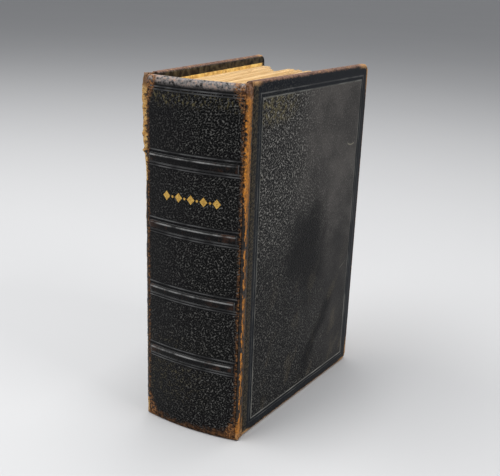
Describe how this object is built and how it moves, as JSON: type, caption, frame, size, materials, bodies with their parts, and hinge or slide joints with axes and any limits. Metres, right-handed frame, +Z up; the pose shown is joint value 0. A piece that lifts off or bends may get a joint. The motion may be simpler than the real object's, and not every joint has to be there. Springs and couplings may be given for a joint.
{
  "type": "prayer book",
  "caption": "Small thick prayer book in full grained leather with raised spine bands, two hinged covers and turning leaves, standing upright.",
  "frame": {"origin": "middle of the book's footprint, on the surface it stands on, with the front cover at its rest opening", "axes": "+Z up along the spine, -Y out of the spine, +Y to the fore-edge, +X to the front cover's side"},
  "size_m": [0.0498, 0.088, 0.1315],
  "materials": {
    "black_leather": "satin",
    "worn_leather": "satin",
    "millboard": "matte",
    "endpaper": "matte",
    "leaf_paper": "matte",
    "card": "matte",
    "lining_paper": "matte",
    "linen": "matte",
    "cord": "matte",
    "thread": "matte",
    "endband": "satin",
    "gilt": "satin"
  },
  "bodies": {
    "text_block": {"spine_leather": "black_leather", "headcap_cord": "cord", "tailcap_cord": "cord", "spine_inlay": "card", "hollow_tube": "lining_paper", "mull_lining": "linen", "headband": "endband", "tailband": "endband", "sewing_thread": "thread", "spine_ornament": "gilt", "band_cord_1": "cord", "band_cord_2": "cord", "band_cord_3": "cord", "band_cord_4": "cord", "sewing_tape_1": "linen", "sewing_tape_2": "linen", "sewing_tape_3": "linen", "front_joint_leather": "worn_leather", "back_joint_leather": "worn_leather", "gathering_07": "leaf_paper", "gathering_08": "leaf_paper", "gathering_09": "leaf_paper", "gathering_10": "leaf_paper"},
    "front_cover": {"front_cover_leather": "black_leather", "front_board": "millboard", "front_pastedown": "endpaper"},
    "front_flyleaf": {"front_flyleaf": "endpaper"},
    "front_leaves_1": {"gathering_15": "leaf_paper", "gathering_16": "leaf_paper"},
    "front_leaves_2": {"gathering_13": "leaf_paper", "gathering_14": "leaf_paper"},
    "front_leaves_3": {"gathering_11": "leaf_paper", "gathering_12": "leaf_paper"},
    "back_cover": {"back_cover_leather": "black_leather", "back_board": "millboard", "back_pastedown": "endpaper"},
    "back_flyleaf": {"back_flyleaf": "endpaper"},
    "back_leaves_1": {"gathering_01": "leaf_paper", "gathering_02": "leaf_paper"},
    "back_leaves_2": {"gathering_03": "leaf_paper", "gathering_04": "leaf_paper"},
    "back_leaves_3": {"gathering_05": "leaf_paper", "gathering_06": "leaf_paper"}
  },
  "joints": [
    {"name": "front_cover_hinge", "type": "hinge", "parent": "text_block", "child": "front_cover", "pos_m": [0.01393, -0.039, 0], "axis": [0, 0, -1], "range_deg": [-7.4, 152.6], "deforming": ["front_joint_leather"]},
    {"name": "front_flyleaf_turn", "type": "hinge", "parent": "text_block", "child": "front_flyleaf", "pos_m": [0.01083, -0.039, 0], "axis": [0, 0, -1], "range_deg": [-4.16, 85.48]},
    {"name": "front_leaves_1_turn", "type": "hinge", "parent": "text_block", "child": "front_leaves_1", "pos_m": [0.01044, -0.03893, 0], "axis": [0, 0, -1], "range_deg": [-3.72, 76.32]},
    {"name": "front_leaves_2_turn", "type": "hinge", "parent": "text_block", "child": "front_leaves_2", "pos_m": [0.00649, -0.03947, 0], "axis": [0, 0, -1], "range_deg": [-1.65, 33.59]},
    {"name": "front_leaves_3_turn", "type": "hinge", "parent": "text_block", "child": "front_leaves_3", "pos_m": [0.00254, -0.03985, 0], "axis": [0, 0, -1], "range_deg": [-0.69, 13.75]},
    {"name": "back_cover_hinge", "type": "hinge", "parent": "text_block", "child": "back_cover", "pos_m": [-0.02447, -0.039, 0], "axis": [0, 0, 1], "range_deg": [0, 160], "deforming": ["back_joint_leather"]},
    {"name": "back_flyleaf_turn", "type": "hinge", "parent": "text_block", "child": "back_flyleaf", "pos_m": [-0.02137, -0.039, 0], "axis": [0, 0, 1], "range_deg": [0, 89.62]},
    {"name": "back_leaves_1_turn", "type": "hinge", "parent": "text_block", "child": "back_leaves_1", "pos_m": [-0.02099, -0.03893, 0], "axis": [0, 0, 1], "range_deg": [0, 80.02]},
    {"name": "back_leaves_2_turn", "type": "hinge", "parent": "text_block", "child": "back_leaves_2", "pos_m": [-0.01704, -0.03947, 0], "axis": [0, 0, 1], "range_deg": [0, 35.22]},
    {"name": "back_leaves_3_turn", "type": "hinge", "parent": "text_block", "child": "back_leaves_3", "pos_m": [-0.01308, -0.03985, 0], "axis": [0, 0, 1], "range_deg": [0, 14.42]}
  ],
  "couplings": [
    {"joint": "front_flyleaf_turn", "follows": "front_cover_hinge", "ratio": 0.56},
    {"joint": "front_leaves_1_turn", "follows": "front_cover_hinge", "ratio": 0.5},
    {"joint": "front_leaves_2_turn", "follows": "front_cover_hinge", "ratio": 0.22},
    {"joint": "front_leaves_3_turn", "follows": "front_cover_hinge", "ratio": 0.09},
    {"joint": "back_flyleaf_turn", "follows": "back_cover_hinge", "ratio": 0.56},
    {"joint": "back_leaves_1_turn", "follows": "back_cover_hinge", "ratio": 0.5},
    {"joint": "back_leaves_2_turn", "follows": "back_cover_hinge", "ratio": 0.22},
    {"joint": "back_leaves_3_turn", "follows": "back_cover_hinge", "ratio": 0.09}
  ]
}
